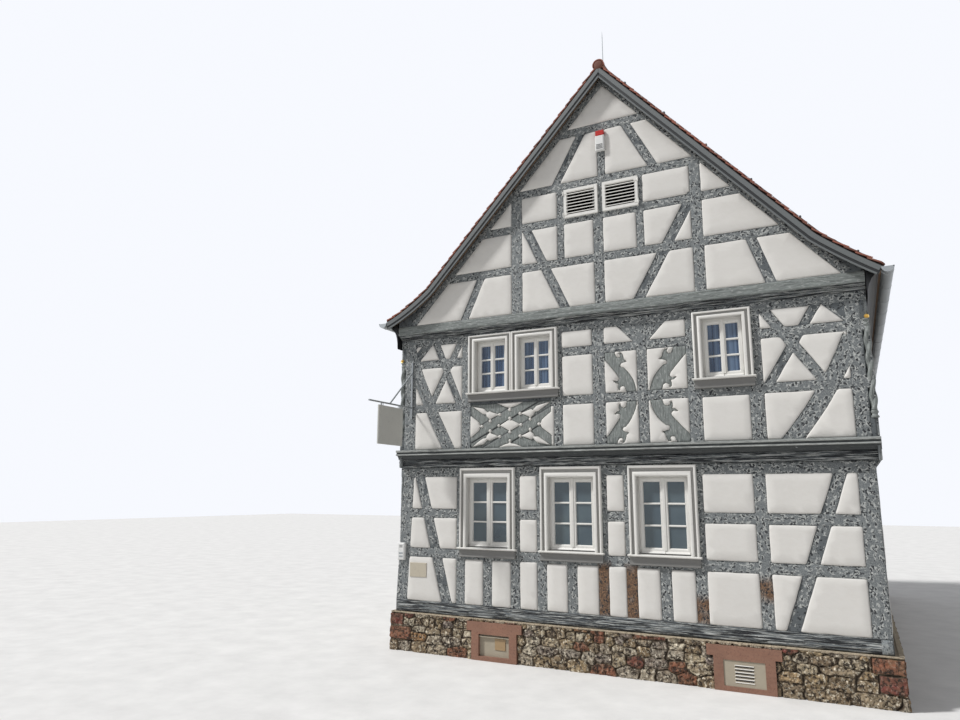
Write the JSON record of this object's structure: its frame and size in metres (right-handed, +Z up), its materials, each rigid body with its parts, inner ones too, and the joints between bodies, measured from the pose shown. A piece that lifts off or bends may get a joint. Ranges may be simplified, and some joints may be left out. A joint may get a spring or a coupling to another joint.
{
  "type": "half timbered house",
  "caption": "Small half timbered town house with its gable to the street: rubble plinth, two framed storeys with plastered panels, carved braces, steep tiled roof with flared eaves.",
  "frame": {"origin": "on the underside of the front plinth, on the line of the ground floor's front timbers and midway between its side walls", "axes": "+X along the street front to the right as seen from the street, +Y into the house along the ridge, +Z up"},
  "size_m": [8.2965, 12.33, 9.632],
  "materials": {
    "rubble": "rough tan and ochre rubble stone in wide pale mortar joints",
    "sandstone": "worn red sandstone, pecked face",
    "cover": "painted render and zinc sheet",
    "boards": "old floor boards",
    "timber": "slate grey painted oak, adzed, weathered, worn along the edges",
    "plaster": "warm off-white trowelled lime plaster with rounded edges",
    "tiles": "old fired plain tiles, matt red brown with lichen",
    "grey_boards": "grey painted boards, weathered",
    "zinc": "weathered zinc, dull",
    "white_paint": "cream white oil paint on wood",
    "glass": "clear window glass",
    "sign_paint": "grey beige painted board",
    "white_plastic": "matt white plastic"
  },
  "bodies": {
    "root": {"plinth_front": "rubble", "plinth_rear": "rubble", "plinth_sides": "rubble", "cellar_surrounds": "sandstone", "cellar_panels": "cover", "ground_floor": "boards", "ground_frame_front": "timber", "ground_frame_rear": "timber", "ground_frame_sides": "timber", "ground_infill_front": "plaster", "ground_infill_rear": "plaster", "ground_infill_sides": "plaster", "jetty_beam": "timber", "upper_floor": "boards", "upper_frame_front": "timber", "upper_frame_rear": "timber", "upper_frame_sides": "timber", "upper_infill_front": "plaster", "upper_infill_rear": "plaster", "upper_infill_sides": "plaster", "carved_braces": "timber", "corner_columns": "timber", "gable_beam": "timber", "attic_floor": "boards", "gable_frame_front": "timber", "gable_frame_rear": "timber", "gable_infill_front": "plaster", "gable_infill_rear": "plaster", "roof_left": "tiles", "roof_right": "tiles", "ridge_tiles": "tiles", "barge_boards": "grey_boards", "eaves_cornices": "grey_boards", "gutters": "zinc", "window_casings": "white_paint", "window_casements": "white_paint", "window_glass": "glass", "louvred_shutters": "white_paint", "yard_door": "grey_boards", "door_steps": "sandstone", "sign_bracket": "zinc", "sign_board": "sign_paint", "wall_siren": "white_plastic", "bell_box": "white_plastic", "lightning_rod": "zinc"}
  },
  "joints": []
}
